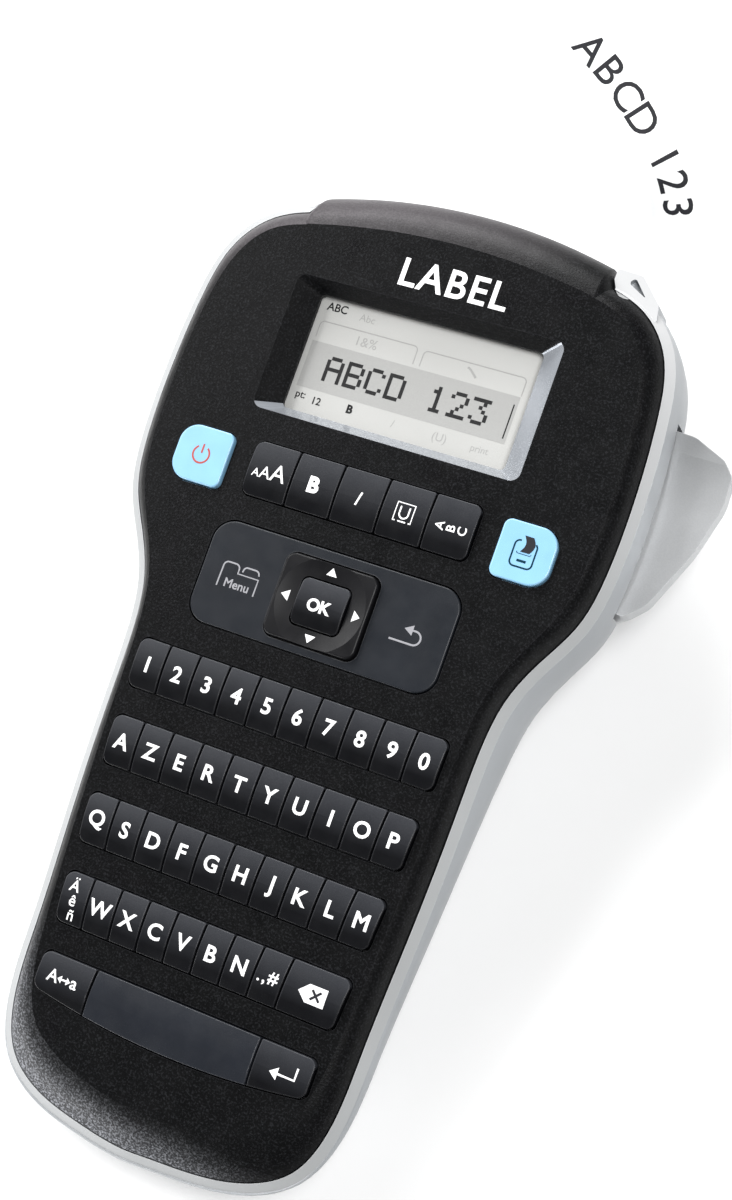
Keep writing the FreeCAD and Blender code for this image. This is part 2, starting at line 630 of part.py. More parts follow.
def cutter_lever():
    z0, z1 = LEVER_Z
    knee = z1 - 5.5
    taper = loft([lowest_wire(lever_block(5.0, z0, z0 + 1)), lowest_wire(lever_block(0, knee, z1))], True)
    lever = merged(lever_block(0, knee, z1).fuse(taper))
    # shallow scoop along the top
    lever = lever.cut(Part.makeCylinder(100, 40, V(40, 54, z1 - 1.6 + 100), V(1, 0, 0)))
    lever = softened(lever, 1.2, lambda e: e.BoundBox.XMin > 56 and not is_upright(e)
                     and e.BoundBox.ZMin > z1 - 2.2)
    hollow = [(44, 47), (55, 46.5), (58, 57), (59.6, 66), (57.5, 70), (44, 71)]
    lever = lever.cut(rounded(hollow, [0.1, 2, 8, 2, 1.5, 0.1], z0 + 2.0, z1 - 4.0))
    return lever.cut(rod(PIVOT[0], PIVOT[1], z0 - 1, z1 + 1, PIN_R + FIT))


def cutter_blade():
    """Blade with a slanted cutting edge on the side of the tape."""
    x0, x1, y0, y1 = BLADE
    pts = [V(x, y, TAPE_Z - 6.2) for x, y in ((x0, y0), (x1, y0), (x1, y1), (x0 + 0.6, y1), (x0, y0))]
    return Part.Face(Part.makePolygon(pts)).extrude(V(0, 0, BAY_FLOOR - 0.2 - TAPE_Z + 6.2))


# ---------------------------------------------------------------- tape bay
def tape_cassette():
    body = rounded_box(-24, 31.2, 13.5, 54, 4, 4.2, 20.9)
    body = softened(body, 0.8, lambda e: e.BoundBox.ZLength < 0.01)
    arm = box(31.0, 33.6, 16, 34, 7.5, 20.9)
    reels = [rod(-6, 36, 1, 6, 4.0), rod(19, 44, 1, 6, 3.2)]
    return merged(body.fuse(arm).cut(reels))


def print_head():
    plate = box(32.1, 33.8, 36, 50, 7.9, BAY_FLOOR - 0.05)
    fin = box(31.6, 32.2, 39, 47, 8, BAY_FLOOR - 0.05)
    return merged(plate.fuse(fin))


def tape_section(p, across, along):
    across = across.normalize()
    flat = across.cross(along).normalize() * (TAPE_T / 2)
    w = across * (TAPE_W / 2)
    c = [p - w - flat, p + w - flat, p + w + flat, p - w + flat]
    return Part.Wire([Part.makeLine(c[i], c[(i + 1) % 4]) for i in range(4)])


def label_tape():
    """Printed tape: straight inside the case, then twisting and curling away."""
    up = V(0, 0, 1)
    inside = loft([tape_section(V(TAPE_X, y, TAPE_Z), up, V(0, 1, 0)) for y in (24, 71)], True)
    curl = [(33.9, 107, -40.9), (34.2, 115.5, -40.2), (34.4, 126, -38), (31, 134.7, -32.5), (24.6, 141.5, -27.5),
            (14.6, 149.9, -22.5), (6.2, 155.4, -19.5), (-2.4, 160.9, -17.5)]
    pts = [V(TAPE_X, 71, TAPE_Z)] + [tipped_point(V(*c)) for c in curl]
    look = V(-0.34, 0.08, -0.94)
    look = tipped_point(look) - tipped_point(V(0, 0, 0))
    turn = [0, 12, 34, 62, 84, 90, 90, 90, 90]
    wires = []
    for i, p in enumerate(pts):
        a, b = pts[max(i - 1, 0)], pts[min(i + 1, len(pts) - 1)]
        along = (b - a).normalize() if i else V(0, 1, 0)
        side = look.cross(along).normalize()
        t = math.radians(turn[i])
        across = up * math.cos(t) + side * math.sin(t)
        across = across - along * across.dot(along)
        wires.append(tape_section(p, across, along))
    return merged(inside.fuse(loft(wires)))


# ---------------------------------------------------------------- drive
def gear(teeth, x, y, z0, z1, phase):
    """Spur gear with straight-sided teeth; phase is the angle of the first tooth."""
    r = MODULE * teeth / 2
    tip, root = r + 0.72, r - 0.9
    pts = []
    for i in range(teeth):
        a = math.radians(phase) + 2 * math.pi * i / teeth
        for rad, half in ((root, 0.78), (r, 0.5), (tip, 0.24)):
            pts.append((rad, a - half / rad))
        for rad, half in ((tip, 0.24), (r, 0.5), (root, 0.78)):
            pts.append((rad, a + half / rad))
    poly = [V(x + q * math.cos(a), y + q * math.sin(a), z0) for q, a in pts]
    return Part.Face(Part.makePolygon(poly + poly[:1])).extrude(V(0, 0, z1 - z0))


def drive():
    px, py = PLATEN
    n = TEETH
    ix = px - MODULE * (n["platen"] + n["idler"]) / 2
    mx = ix - MODULE * (n["idler"] + n["pinion"]) / 2
    z0, z1 = GEAR_Z
    roller = rod(px, py, 7.6, 20.9, 2.6).fuse(rod(px, py, 7.0, z1 + 1.5, 1.2))
    roller = merged(roller.fuse(gear(n["platen"], px, py, z0, z1, 180)))
    idler = gear(n["idler"], ix, py, z0, z1, 180.0 / n["idler"])
    idler = idler.cut(rod(ix, py, z0 - 1, z1 + 1, 1.2 + FIT))
    pinion = gear(n["pinion"], mx, py, z0, z1, 0)
    pinion = merged(pinion.fuse(rod(mx, py, z1, z1 + 2.9, 0.7)))
    motor = rod(mx, py, z1 + 1.5, z1 + 10.6, 6.0).cut(rod(mx, py, z1, z1 + 3.2, 0.7 + FIT))
    return {"platen_roller": roller, "idler_gear": idler, "motor_pinion": pinion, "drive_motor": motor}


# ---------------------------------------------------------------- batteries and screws
def battery_cells():
    out = []
    z = WALL + 0.5 + CELL_R
    for row in range(2):
        y = COVER[2] + 1.6 + row * (CELL_L + 0.3)
        for i in (-1, 0, 1):
            body = Part.makeCylinder(CELL_R, CELL_L - 1, V(i * CELL_PITCH, y, z), V(0, 1, 0))
            tip = Part.makeCylinder(1.9, 1.0, V(i * CELL_PITCH, y + CELL_L - 1, z), V(0, 1, 0))
            cell = merged(body.fuse(tip))
            if i == 0:
                cell.rotate(V(0, y + CELL_L / 2, z), V(0, 0, 1), 180)
            out.append(cell)
    return out


def battery_contacts():
    z = WALL + 0.5 + CELL_R
    first, last = COVER[2] + 0.6, COVER[2] + 1.6 + 2 * CELL_L + 0.3
    out = []
    for y in (first, last + 0.2):
        for i in (-1, 0, 1):
            x = i * CELL_PITCH
            out.append(box(x - 4.5, x + 4.5, y, y + 0.5, z - 4.5, z + 4.5))
    return out


def case_screws():
    out = []
    for x, y in SCREWS:
        head = rod(x, y, SCREW_SEAT - 2.0, SCREW_SEAT, 2.6)
        shank = rod(x, y, SCREW_SEAT, SCREW_SEAT + 8.5, 1.2)
        cross = [box(x - 1.6, x + 1.6, y - 0.35, y + 0.35, SCREW_SEAT - 3, SCREW_SEAT - 1.1),
                 box(x - 0.35, x + 0.35, y - 1.6, y + 1.6, SCREW_SEAT - 3, SCREW_SEAT - 1.1)]
        out.append(merged(head.fuse(shank).cut(cross)))
    return out


def main():
    outer, inner = case_outer(), case_inner()
    shell = outer.cut(inner)
    save("front_cover", tipped(front_cover()))
    save("rear_case", tipped(rear_case(outer, inner)))
    save("cassette_door", cassette_door(shell))
    save("battery_cover", battery_cover(shell))
    save("display_window", tipped(display_window()))
    save("lcd_panel", tipped(lcd_panel()))
    save("circuit_board", tipped(circuit_board()))
    save("keypad_mat", tipped(keypad_mat()))
    save("cutter_lever", tipped(cutter_lever()))
    save("lever_pin", tipped(rod(PIVOT[0], PIVOT[1], LEVER_Z[0] - 3.0, LEVER_Z[1] + 2.6, PIN_R)))
    save("cutter_blade", cutter_blade())
    save("tape_cassette", tape_cassette())
    save("label_tape", label_tape())
    save("print_head", print_head())
    for node, shape in drive().items():
        save(node, shape)
    save("battery_cells", battery_cells())
    save("battery_contacts", battery_contacts())
    save("case_screws", case_screws())
    save("hinge_wires", hinge_wire(0.5))
    for node, shapes in keys().items():
        save(node, [tipped(s) for s in shapes])


main()
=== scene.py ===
import json
import math

import bmesh
import bpy
from mathutils import Matrix, Vector
from mathutils.bvhtree import BVHTree


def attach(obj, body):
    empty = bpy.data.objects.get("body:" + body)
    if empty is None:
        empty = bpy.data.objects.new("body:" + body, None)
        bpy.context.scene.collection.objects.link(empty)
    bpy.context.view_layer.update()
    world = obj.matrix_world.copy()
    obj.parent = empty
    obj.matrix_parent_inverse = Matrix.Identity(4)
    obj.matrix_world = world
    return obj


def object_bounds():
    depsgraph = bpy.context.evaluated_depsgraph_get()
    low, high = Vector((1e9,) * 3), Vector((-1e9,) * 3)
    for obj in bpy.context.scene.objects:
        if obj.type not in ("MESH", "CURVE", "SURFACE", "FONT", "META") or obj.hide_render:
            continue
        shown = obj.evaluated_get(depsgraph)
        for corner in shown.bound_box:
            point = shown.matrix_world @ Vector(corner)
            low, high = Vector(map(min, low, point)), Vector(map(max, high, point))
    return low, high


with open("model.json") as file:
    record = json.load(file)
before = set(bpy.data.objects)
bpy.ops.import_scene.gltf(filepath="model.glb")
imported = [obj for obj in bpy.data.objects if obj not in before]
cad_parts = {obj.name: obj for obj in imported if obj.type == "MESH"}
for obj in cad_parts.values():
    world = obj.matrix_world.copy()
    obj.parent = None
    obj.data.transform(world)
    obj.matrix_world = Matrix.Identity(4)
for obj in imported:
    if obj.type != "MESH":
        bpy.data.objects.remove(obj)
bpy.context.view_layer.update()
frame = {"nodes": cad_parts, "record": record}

MM = 0.001
NODES = frame["nodes"]
JOINTS = {j["name"]: j for j in frame["record"]["behaviour"]["joints"]}

# ------------------------------------------------------------------ face frame
# The keyboard face is tipped against the row frame.  Its normal comes from the lever's axis
# and its place from the axis of the direction ring, which TILT_POINT gives in face coordinates.
# Face coordinates are millimetres, with the flat face at z = 0 and +Y towards the display end.
NORMAL = Vector(JOINTS["lever_swing"]["axis"]).normalized()
RIGHT = Vector((1, 0, 0))
UP = NORMAL.cross(RIGHT)
TILT_POINT = Vector((0, 17.6, -2.5))
ORIGIN = Vector(JOINTS["direction_ring_tilt"]["pos_m"]) - (
    UP * TILT_POINT.y + NORMAL * TILT_POINT.z) * MM


def to_row(x, y, z):
    """Place in the row frame, in metres, of a point in face coordinates."""
    return ORIGIN + (RIGHT * x + UP * y + NORMAL * z) * MM


def to_face(p):
    """Face coordinates of a place in the row frame."""
    d = (Vector(p) - ORIGIN) / MM
    return Vector((d.dot(RIGHT), d.dot(UP), d.dot(NORMAL)))


_trees = {}


def tree(node):
    """Ray-casting tree of a CAD node in face coordinates."""
    if node not in _trees:
        m = NODES[node].data
        pts = [to_face(v.co) for v in m.vertices]
        _trees[node] = BVHTree.FromPolygons(pts, [tuple(p.vertices) for p in m.polygons])
    return _trees[node]


def face_box(node):
    """Lowest and highest corner of a CAD node in face coordinates."""
    pts = [to_face(v.co) for v in NODES[node].data.vertices]
    low = Vector((min(p.x for p in pts), min(p.y for p in pts), min(p.z for p in pts)))
    high = Vector((max(p.x for p in pts), max(p.y for p in pts), max(p.z for p in pts)))
    return low, high


ABOVE_ALL = 60           # a height that every node stays under


def surface(node, x, y):
    """Height of a CAD node's upper surface, or None beside the node."""
    hit = tree(node).ray_cast(Vector((x, y, ABOVE_ALL)), Vector((0, 0, -1)))[0]
    return None if hit is None else hit.z


# ------------------------------------------------------------------ materials
class Mat:
    """A material, its node tree, its shader and its object coordinates."""

    def __init__(self, name):
        self.material = bpy.data.materials.new(name)
        self.material.use_nodes = True
        self.tree = self.material.node_tree
        self.shader = self.tree.nodes["Principled BSDF"]
        self.place = self.tree.nodes.new("ShaderNodeTexCoord").outputs["Object"]

    def node(self, kind, **values):
        n = self.tree.nodes.new(kind)
        for k, v in values.items():
            if k in n.inputs:
                n.inputs[k].default_value = v
            else:
                setattr(n, k, v)
        return n

    def link(self, a, b):
        self.tree.links.new(a, b)

    def noise(self, scale, detail=3.0, rough=0.5, place=None):
        n = self.node("ShaderNodeTexNoise", Scale=scale, Detail=detail, Roughness=rough)
        self.link(place or self.place, n.inputs["Vector"])
        return n.outputs["Fac"]

    def ramp(self, fac, stops):
        r = self.node("ShaderNodeValToRGB")
        e = r.color_ramp.elements
        e[0].position, e[0].color = stops[0][0], rgba(stops[0][1])
        e[1].position, e[1].color = stops[-1][0], rgba(stops[-1][1])
        for pos, col in stops[1:-1]:
            k = e.new(pos)
            k.color = rgba(col)
        self.link(fac, r.inputs["Fac"])
        return r.outputs["Color"]

    def span(self, fac, low, high, from_low=0.3, from_high=0.7):
        """Map a value between two limits to low and high, and hold it there outside them."""
        n = self.node("ShaderNodeMapRange")
        n.inputs["From Min"].default_value = from_low
        n.inputs["From Max"].default_value = from_high
        n.inputs["To Min"].default_value = low
        n.inputs["To Max"].default_value = high
        self.link(fac, n.inputs["Value"])
        return n.outputs["Result"]

    def mix(self, fac, a, b):
        n = self.node("ShaderNodeMix", data_type="RGBA")
        self.link(fac, n.inputs["Factor"])
        for sock, v in ((n.inputs["A"], a), (n.inputs["B"], b)):
            if isinstance(v, (tuple, list)):
                sock.default_value = rgba(v)
            else:
                self.link(v, sock)
        return n.outputs["Result"]

    def bump(self, height, distance, strength):
        n = self.node("ShaderNodeBump", Strength=strength, Distance=distance)
        self.link(height, n.inputs["Height"])
        return n.outputs["Normal"]


def rgba(c):
    if isinstance(c, (int, float)):
        c = (c, c, c)
    return tuple(c[:3]) + (1.0,)


def shade(color, k):
    return tuple(min(max(v * k, 0), 1) for v in color)


WEAR_AND_HIGHLIGHT_RADIUS = 0.00035    # metres, how far the lighter edges, partly worn and partly a painted highlight, reach in
SPECK_GAIN = 7.5         # how much lighter the specks in a grained surface are


def edge_mask(m):
    """Bright on edges: how far a bevelled normal leans from the true one."""
    bev = m.node("ShaderNodeBevel", samples=4, Radius=WEAR_AND_HIGHLIGHT_RADIUS)
    geo = m.node("ShaderNodeNewGeometry")
    dot = m.node("ShaderNodeVectorMath", operation="DOT_PRODUCT")
    m.link(bev.outputs["Normal"], dot.inputs[0])
    m.link(geo.outputs["Normal"], dot.inputs[1])
    return m.span(dot.outputs["Value"], 1.0, 0.0, 0.80, 0.995)


def row_direction(way):
    """Unit vector in the row frame along a direction of the face frame."""
    return (RIGHT * way[0] + UP * way[1] + NORMAL * way[2]).normalized()


def leaning(m, way, low, high):
    """Mask of the surfaces that lean towards a direction of the face frame, between two cosines."""
    geo = m.node("ShaderNodeNewGeometry")
    dot = m.node("ShaderNodeVectorMath", operation="DOT_PRODUCT")
    dot.inputs[1].default_value = row_direction(way)
    m.link(geo.outputs["Normal"], dot.inputs[0])
    return m.span(dot.outputs["Value"], 0.0, 1.0, low, high)


def beyond(m, way, low, high):
    """Mask that grows between two distances along a direction of the face frame, in mm."""
    axis = row_direction(way)
    dot = m.node("ShaderNodeVectorMath", operation="DOT_PRODUCT")
    dot.inputs[1].default_value = axis
    m.link(m.place, dot.inputs[0])
    start = ORIGIN.dot(axis)
    return m.span(dot.outputs["Value"], 0.0, 1.0, start + low * MM, start + high * MM)


def product(m, masks):
    """The masks multiplied together."""
    out = masks[0]
    for mask in masks[1:]:
        n = m.node("ShaderNodeMath", operation="MULTIPLY")
        m.link(out, n.inputs[0])
        m.link(mask, n.inputs[1])
        out = n.outputs["Value"]
    return out


def plastic(name, color, rough, grain=2600.0, depth=0.00002, blotch=60.0, vary=0.12,
            wear_and_highlight=None, coat=0.0, spec=0.5, speck=0.0, metallic=0.0, painted_light=()):
    """Moulded plastic: fine grain in the surface, faint blotches in colour and gloss, lighter edges that are
    partly worn and partly a painted highlight.

    grain and blotch are per metre, depth is in metres, vary is the share by which the colour
    varies, wear_and_highlight is the colour of the edges, worn and with painted highlight, and speck is the
    strength of light specks.
    Each entry of painted_light paints a highlight or sheen on one region, lightening its colour where light
    would fall:
    its colour, its strength between the grains, the grain value where it is full, and its masks, as (kind,
    way, low, high)."""
    m = Mat(name)
    large, fine = m.noise(blotch, 4.0), m.noise(grain, 2.0, 0.6)
    col = m.ramp(large, [(0.3, shade(color, 1 - vary)), (0.7, shade(color, 1 + vary))])
    if speck:
        col = m.mix(m.span(fine, 0.0, speck, 0.50, 0.72), col, shade(color, SPECK_GAIN))
    # painted light: each entry lightens the colour of one region where light would fall, a painted highlight
    # or sheen
    for painted_colour, between, full, masks in painted_light:
        parts = [kind(m, *limits) for kind, *limits in masks]
        col = m.mix(product(m, parts + [m.span(fine, between, 1.0, full - 0.2, full)]), col, painted_colour)
    # lighter edges: partly worn, partly a painted edge highlight
    if wear_and_highlight:
        mask = m.node("ShaderNodeMath", operation="MULTIPLY")
        m.link(edge_mask(m), mask.inputs[0])
        m.link(m.span(m.noise(420.0, 5.0, 0.7), 0.15, 0.8, 0.35, 0.65), mask.inputs[1])
        col = m.mix(mask.outputs["Value"], col, wear_and_highlight)
    m.link(col, m.shader.inputs["Base Color"])
    m.link(m.span(m.noise(blotch * 2.3, 3.0), rough * 0.88, rough * 1.12), m.shader.inputs["Roughness"])
    m.link(m.bump(fine, depth, 0.8), m.shader.inputs["Normal"])
    m.shader.inputs["Coat Weight"].default_value = coat
    m.shader.inputs["Coat Roughness"].default_value = 0.25
    m.shader.inputs["Specular IOR Level"].default_value = spec
    m.shader.inputs["Metallic"].default_value = metallic
    return m.material


def metal(name, color, rough, along=(1, 1, 60)):
    """Drawn or brushed metal with fine streaks, across the axis that along stretches."""
    m = Mat(name)
    stretch = m.node("ShaderNodeMapping")
    stretch.inputs["Scale"].default_value = along
    m.link(m.place, stretch.inputs["Vector"])
    streak = m.noise(900.0, 4.0, 0.6, stretch.outputs["Vector"])
    col = m.ramp(streak, [(0.3, shade(color, 0.82)), (0.7, shade(color, 1.1))])
    m.link(col, m.shader.inputs["Base Color"])
    m.link(m.span(streak, rough * 0.8, rough * 1.3), m.shader.inputs["Roughness"])
    m.link(m.bump(streak, 0.00001, 0.5), m.shader.inputs["Normal"])
    m.shader.inputs["Metallic"].default_value = 1.0
    return m.material


def printed(name, color, rough=0.55, spec=0.15):
    """Pad-printed ink: slightly uneven cover."""
    m = Mat(name)
    n = m.noise(3800.0, 3.0, 0.7)
    m.link(m.ramp(n, [(0.25, shade(color, 0.90)), (0.6, color)]), m.shader.inputs["Base Color"])
    m.link(m.span(n, rough * 0.85, rough * 1.1), m.shader.inputs["Roughness"])
    m.link(m.bump(n, 0.000006, 0.5), m.shader.inputs["Normal"])
    m.shader.inputs["Specular IOR Level"].default_value = spec
    return m.material


def clear(name):
    """Clear window with faint smears."""
    m = Mat(name)
    smear = m.noise(140.0, 4.0)
    m.link(m.span(smear, 0.03, 0.09), m.shader.inputs["Roughness"])
    m.link(m.ramp(smear, [(0.3, (0.40, 0.41, 0.41)), (0.7, 0.48)]), m.shader.inputs["Base Color"])
    m.shader.inputs["Alpha"].default_value = 0.03
    m.shader.inputs["Specular IOR Level"].default_value = 0.35
    return m.material


# Painted light: regions whose colour is lightened where light would fall, as painted highlights and sheens,
# given as lists for plastic()
PAINTED_HOOD_SHEEN, PAINTED_FOOT_SHEEN = (0.082, 0.075, 0.080), (0.34, 0.35, 0.38)
SLOPE = (leaning, (0, 0, 1), 0.10, 0.30)         # leaves out walls that stand upright
PAINTED_SHEEN_COVER = [
    # painted sheen on the slope at the display end of the cover, strongest towards the left
    (PAINTED_HOOD_SHEEN, 0.75, 0.60, [(leaning, (-0.25, 1, 0), 0.10, 0.42), SLOPE, (beyond, (-0.5, 1, 0), 78, 100)]),
    # painted sheen on the foot slope of the cover, at its lower left
    (PAINTED_FOOT_SHEEN, 0.12, 0.66, [(leaning, (-0.55, -0.83, 0), 0.18, 0.62), SLOPE,
                             (beyond, (-0.5, -1, 0), 70, 88)]),
]
# painted highlight on the rim: lighter towards the display end and the right
PAINTED_HIGHLIGHT_RIM = [((0.54, 0.545, 0.55), 0.95, 0.60, [(beyond, (0.45, 0.9, 0), 55, 100)])]
# painted highlight on the lever: lighter towards its lower right
PAINTED_HIGHLIGHT_LEVER = [((0.52, 0.53, 0.54), 0.92, 0.60, [(beyond, (0.35, -0.94, 0), -64, -34)])]
# painted highlight on the keys: surfaces are lighter the more they face the display end
PAINTED_HIGHLIGHT_KEYS = [((0.034, 0.036, 0.042), 0.85, 0.62, [(leaning, (-0.15, 1, 0), -0.14, 0.26)])]

MAT = {
    "case_shell": plastic("case_shell", (0.34, 0.355, 0.37), 0.38, 3000, 0.000008, 40, 0.04,
                          wear_and_highlight=(0.68, 0.69, 0.71), spec=0.10, metallic=0.20),
    "cover_dark": plastic("cover_dark", (0.0026, 0.0027, 0.0030), 0.38, 2300, 0.00006, 90, 0.16,
                          wear_and_highlight=(0.03, 0.03, 0.034), spec=0.11, speck=0.7, painted_light=PAINTED_SHEEN_COVER),
    "key_dark": plastic("key_dark", (0.0030, 0.0032, 0.0042), 0.36, 3600, 0.000008, 120, 0.12,
                        wear_and_highlight=(0.13, 0.13, 0.14), spec=0.20, painted_light=PAINTED_HIGHLIGHT_KEYS),
    "ring_dark": plastic("ring_dark", (0.0045, 0.0045, 0.0055), 0.40, 3600, 0.000008, 120, 0.12,
                         wear_and_highlight=(0.03, 0.03, 0.032), spec=0.22),
    "space_dark": plastic("space_dark", (0.012, 0.014, 0.019), 0.36, 3600, 0.000008, 120, 0.10,
                          wear_and_highlight=(0.13, 0.13, 0.14), spec=0.3),
    "key_blue": plastic("key_blue", (0.235, 0.47, 0.68), 0.32, 3600, 0.000006, 150, 0.05,
                        wear_and_highlight=(0.86, 0.94, 0.98), coat=0.2),
    "nav_plastic": plastic("nav_plastic", (0.0095, 0.0115, 0.0155), 0.40, 3400, 0.000008, 110, 0.10,
                           wear_and_highlight=(0.12, 0.12, 0.125), spec=0.28),
    "lever_plastic": plastic("lever_plastic", (0.17, 0.175, 0.18), 0.32, 3000, 0.000008, 60, 0.05,
                             wear_and_highlight=(0.70, 0.71, 0.73), spec=0.10, metallic=0.40, painted_light=PAINTED_HIGHLIGHT_LEVER),
    "window_clear": clear("window_clear"),
    "lcd": plastic("lcd", (0.465, 0.465, 0.45), 0.42, 5200, 0.000003, 30, 0.03),
    "board": plastic("board", (0.03, 0.17, 0.09), 0.40, 1500, 0.00002, 200, 0.2),
    "mat_rubber": plastic("mat_rubber", (0.03, 0.03, 0.032), 0.75, 2400, 0.00003, 150, 0.15),
    "cassette_plastic": plastic("cassette_plastic", (0.06, 0.06, 0.065), 0.45, 2600, 0.00003, 90, 0.15),
    "tape_film": plastic("tape_film", (0.90, 0.905, 0.91), 0.34, 4200, 0.000004, 80, 0.02, coat=0.25),
    "head_ceramic": plastic("head_ceramic", (0.80, 0.77, 0.70), 0.5, 2600, 0.00001, 100, 0.06),
    "motor_can": metal("motor_can", (0.62, 0.62, 0.63), 0.35),
    "cell_can": plastic("cell_can", (0.10, 0.14, 0.20), 0.30, 2600, 0.000006, 100, 0.1, coat=0.4),
    "contact_metal": metal("contact_metal", (0.72, 0.70, 0.66), 0.3, (60, 1, 1)),
    "steel": metal("steel", (0.62, 0.62, 0.63), 0.28),
    "roller_rubber": plastic("roller_rubber", (0.03, 0.03, 0.03), 0.7, 2600, 0.00003, 150, 0.15),
    "gear_plastic": plastic("gear_plastic", (0.80, 0.80, 0.76), 0.45, 2600, 0.00001, 150, 0.05),
}
INK_WHITE = printed("ink_white", (0.90, 0.90, 0.90))
INK_GREY = printed("ink_grey", (0.30, 0.30, 0.32))
INK_DARK = printed("ink_dark", (0.02, 0.02, 0.024))
INK_TEAL = printed("ink_teal", (0.004, 0.03, 0.05), 0.5, 0.05)
INK_RUST = printed("ink_rust", (0.42, 0.09, 0.07))
LCD_DOT = printed("lcd_dot", (0.001, 0.001, 0.0015), 0.5, 0.05)
LCD_FAINT = printed("lcd_faint", (0.36, 0.36, 0.35), 0.4)
LCD_BAND = printed("lcd_band", (0.375, 0.375, 0.365), 0.4)

# every CAD node takes the material of its slot, apart from two with a finish of their own
OWN_FINISH = {"key_space": "space_dark", "direction_ring": "ring_dark"}
SHARP = math.radians(28)

for part in frame["record"]["subparts"]:
    mesh = NODES[part["node"]].data
    mesh.materials.clear()
    mesh.materials.append(MAT[OWN_FINISH.get(part["node"], part["material_slot"])])
    mesh.shade_smooth()
    mesh.set_sharp_from_angle(angle=SHARP)

# second materials, both painted light: the bevelled rim of the case, made lighter where it faces up as a
# painted highlight, and the lower and right slopes of the display recess, given a light metallic grey as a
# painted reflection
RIM_FOOT = -5.6                                  # the rim is all of the case that is higher
RECESS_Y, RECESS_HALF_X, RECESS_HALF_Y = 69.15, 31.2, 15.5
RECESS_FLOOR, RECESS_BRIM = -4.3, -0.02
STEEP = 0.3                                      # cosine between a slope and the way it leans

case, cover = NODES["rear_case"].data, NODES["front_cover"].data
case.materials.append(plastic("rim_painted_highlight", (0.40, 0.41, 0.415), 0.38, 3000, 0.000008, 40, 0.04,
                              wear_and_highlight=(0.62, 0.63, 0.65), spec=0.12, metallic=0.1, painted_light=PAINTED_HIGHLIGHT_RIM))
cover.materials.append(plastic("recess_painted_reflection", (0.34, 0.36, 0.39), 0.20, 2600, 0.000004, 60, 0.05,
                               metallic=0.4))
# painted highlight: rim faces that look up take the lighter copy of the case material, the sides keep the
# darker one
for poly in case.polygons:
    if to_face(poly.center).z > RIM_FOOT and poly.normal.dot(NORMAL) > STEEP:
        poly.material_index = 1
# painted reflection: recess slopes that face the display end or face left take a light metallic grey, the
# other slopes stay black
for poly in cover.polygons:
    c = to_face(poly.center)
    inside = abs(c.x) < RECESS_HALF_X and abs(c.y - RECESS_Y) < RECESS_HALF_Y
    takes_painted_reflection = poly.normal.dot(UP) > STEEP or poly.normal.x < -STEEP
    if inside and takes_painted_reflection and RECESS_FLOOR < c.z < RECESS_BRIM:
        poly.material_index = 1

# ------------------------------------------------------------------ flat shapes
# A shape is (vertices, faces) in millimetres, drawn about the plane z = 0 of the face frame.
TEXT_EXTRUDE = 0.02      # half thickness of raw lettering, before it is flattened


def curve_mesh(curve):
    """(vertices, faces) of a curve or a text."""
    o = bpy.data.objects.new("drawn", curve)
    bpy.context.scene.collection.objects.link(o)
    m = bpy.data.meshes.new_from_object(o.evaluated_get(bpy.context.evaluated_depsgraph_get()))
    verts = [v.co.copy() for v in m.vertices]
    faces = [tuple(p.vertices) for p in m.polygons]
    bpy.data.objects.remove(o)
    bpy.data.meshes.remove(m)
    return verts, faces


def text_shape(word, size, bold=0.0, spacing=1.0, thick=0.02):
    """Flat closed lettering, centred on its own box."""
    c = bpy.data.curves.new("lettering", "FONT")
    c.body, c.size, c.space_character = word, size, spacing
    c.extrude, c.bevel_depth, c.bevel_resolution = TEXT_EXTRUDE, bold, 1
    c.resolution_u = 4
    verts, faces = curve_mesh(c)
    mid_x = (min(v.x for v in verts) + max(v.x for v in verts)) / 2
    mid_y = (min(v.y for v in verts) + max(v.y for v in verts)) / 2
    flat = thick / (TEXT_EXTRUDE + bold)
    return [Vector((v.x - mid_x, v.y - mid_y, v.z * flat)) for v in verts], faces


def line_shape(points, width, thick=0.03):
    """A line of the given width drawn along points, as a flattened tube."""
    c = bpy.data.curves.new("line", "CURVE")
    c.dimensions = "3D"
    s = c.splines.new("POLY")
    s.points.add(len(points) - 1)
    for p, (x, y) in zip(s.points, points):
        p.co = (x, y, 0, 1)
    c.bevel_depth, c.bevel_resolution, c.use_fill_caps = width / 2, 2, True
    verts, faces = curve_mesh(c)
    return [Vector((v.x, v.y, v.z * thick / (width / 2))) for v in verts], faces


def patch_shape(points, thick=0.02):
    """A filled closed outline of small thickness."""
    n = len(points)
    verts = [Vector((x, y, -thick)) for x, y in points] + [Vector((x, y, thick)) for x, y in points]
    faces = [tuple(range(n - 1, -1, -1)), tuple(range(n, 2 * n))]
    faces += [(i, (i + 1) % n, n + (i + 1) % n, n + i) for i in range(n)]
    return verts, faces


def arc(cx, cy, r, a0, a1, n=16):
    """Points on a circle from angle a0 to angle a1, in degrees."""
    angles = [math.radians(a0 + (a1 - a0) * i / n) for i in range(n + 1)]
    return [(cx + r * math.cos(a), cy + r * math.sin(a)) for a in angles]


def moved(shape, dx, dy, turn=0.0):
    """The shape turned about (0, 0) in degrees, then shifted."""
    ca, sa = math.cos(math.radians(turn)), math.sin(math.radians(turn))
    return [Vector((p.x * ca - p.y * sa + dx, p.x * sa + p.y * ca + dy, p.z)) for p in shape[0]], shape[1]


def joined(shapes):
    verts, faces = [], []
    for v, f in shapes:
        n = len(verts)
        verts += v
        faces += [tuple(i + n for i in q) for q in f]
    return verts, faces


def texts(places, size, bold, turn=0.0):
    """Short texts of one size, each given as (word, x, y)."""
    return [moved(text_shape(word, size, bold), x, y, turn) for word, x, y in places]


